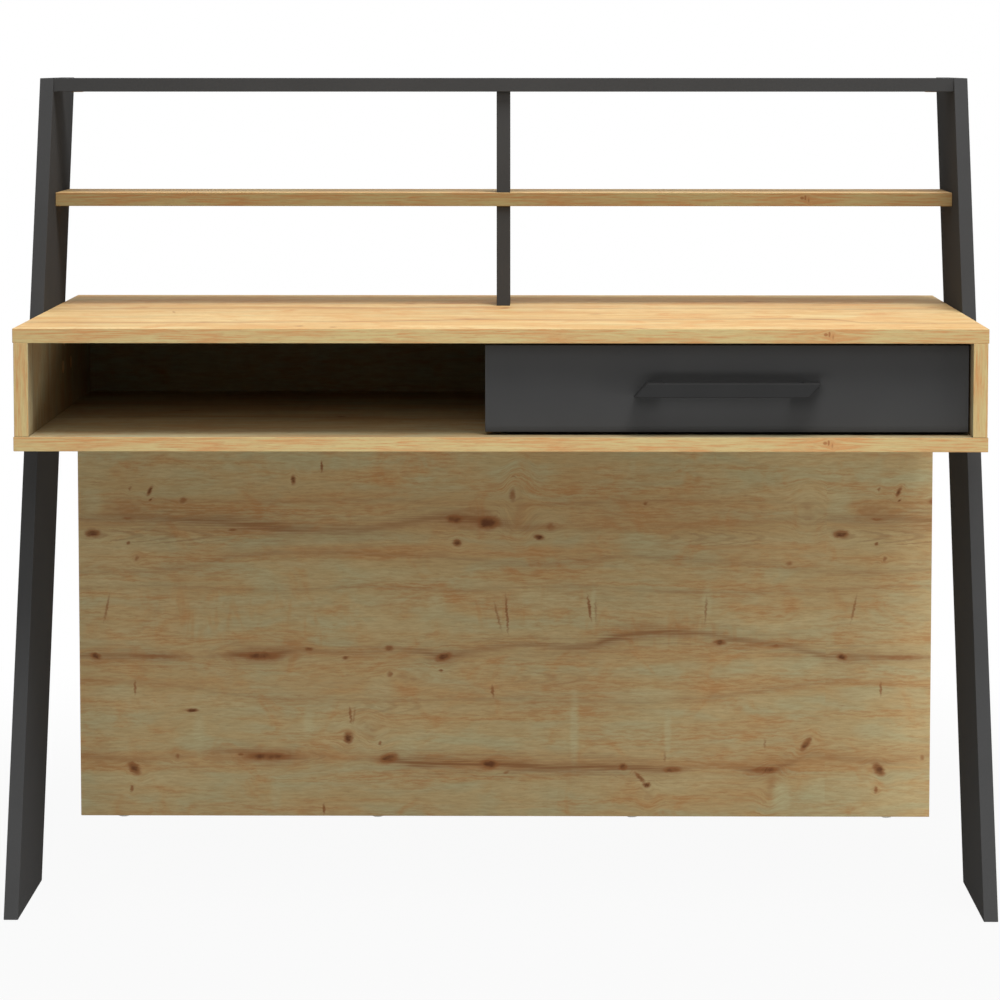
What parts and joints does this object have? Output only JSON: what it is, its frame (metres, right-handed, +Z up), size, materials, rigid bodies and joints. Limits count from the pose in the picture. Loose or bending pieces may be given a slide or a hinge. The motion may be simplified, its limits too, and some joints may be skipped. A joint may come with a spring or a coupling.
{
  "type": "computer desk",
  "caption": "Writing desk: a desktop over an open compartment and a drawer, a back panel down to the floor, and leaning side frames that carry a raised shelf and a top bar.",
  "frame": {"origin": "on the floor, under the middle of the desk's outer box", "axes": "+X to the right seen from the front, +Y towards the wall behind, +Z up; the drawer opens towards -Y"},
  "size_m": [1.236, 0.5557, 1.045],
  "materials": {
    "oak_board": "matt oak decor",
    "graphite_board": "matt graphite decor",
    "drawer_board": "matt light grey",
    "hardboard": "smooth hardboard",
    "handle_plastic": "matt graphite",
    "runner_steel": "powder coated",
    "roller_nylon": "moulded nylon",
    "zinc": "zinc plated",
    "beech": "bare beech",
    "cap_plastic": "oak coloured",
    "glide_plastic": "white hard polyethylene"
  },
  "bodies": {
    "desk": {"top_panel": "oak_board", "bottom_panel": "oak_board", "back_panel": "oak_board", "box_side_left": "oak_board", "box_side_right": "oak_board", "box_divider": "oak_board", "side_frame_left": "graphite_board", "side_frame_right": "graphite_board", "shelf": "oak_board", "top_bar": "graphite_board", "lower_upright": "graphite_board", "upper_upright": "graphite_board", "fixed_rail_left": "runner_steel", "fixed_rail_right": "runner_steel", "front_roller_pins": "zinc", "fixed_rail_screws": "zinc", "panel_screws": "zinc", "frame_screws": "zinc", "cam_bolts": "zinc", "cam_housings": "zinc", "cover_caps": "cap_plastic", "dowels": "beech", "through_dowels": "beech", "floor_glides": "glide_plastic"},
    "drawer": {"drawer_front": "graphite_board", "drawer_side_left": "drawer_board", "drawer_side_right": "drawer_board", "drawer_back": "drawer_board", "drawer_bottom": "hardboard", "drawer_handle": "handle_plastic", "moving_rail_left": "runner_steel", "moving_rail_right": "runner_steel", "rear_roller_pins": "zinc", "moving_rail_screws": "zinc", "handle_screws": "zinc", "drawer_cam_bolts": "zinc", "drawer_cam_housings": "zinc", "drawer_back_screws": "zinc", "drawer_bottom_nails": "zinc"},
    "front_roller_left_body": {"front_roller_left": "roller_nylon"},
    "front_roller_right_body": {"front_roller_right": "roller_nylon"},
    "rear_roller_left_body": {"rear_roller_left": "roller_nylon"},
    "rear_roller_right_body": {"rear_roller_right": "roller_nylon"}
  },
  "joints": [
    {"name": "drawer_slide", "type": "slide", "parent": "desk", "child": "drawer", "axis": [0, -1, 0], "range_m": [0, 0.3]},
    {"name": "front_roller_left_spin", "type": "hinge", "parent": "desk", "child": "front_roller_left_body", "pos_m": [0.0092, -0.218, 0.635], "axis": [1, 0, 0], "continuous": true},
    {"name": "front_roller_right_spin", "type": "hinge", "parent": "desk", "child": "front_roller_right_body", "pos_m": [0.5718, -0.218, 0.635], "axis": [1, 0, 0], "continuous": true},
    {"name": "rear_roller_left_spin", "type": "hinge", "parent": "drawer", "child": "rear_roller_left_body", "pos_m": [0.0048, 0.158, 0.635], "axis": [1, 0, 0], "continuous": true},
    {"name": "rear_roller_right_spin", "type": "hinge", "parent": "drawer", "child": "rear_roller_right_body", "pos_m": [0.5762, 0.158, 0.635], "axis": [1, 0, 0], "continuous": true}
  ],
  "couplings": [
    {"joint": "front_roller_left_spin", "follows": "drawer_slide", "rad_per_m": 125},
    {"joint": "front_roller_right_spin", "follows": "drawer_slide", "rad_per_m": 125},
    {"joint": "rear_roller_left_spin", "follows": "drawer_slide", "rad_per_m": 125},
    {"joint": "rear_roller_right_spin", "follows": "drawer_slide", "rad_per_m": 125}
  ]
}
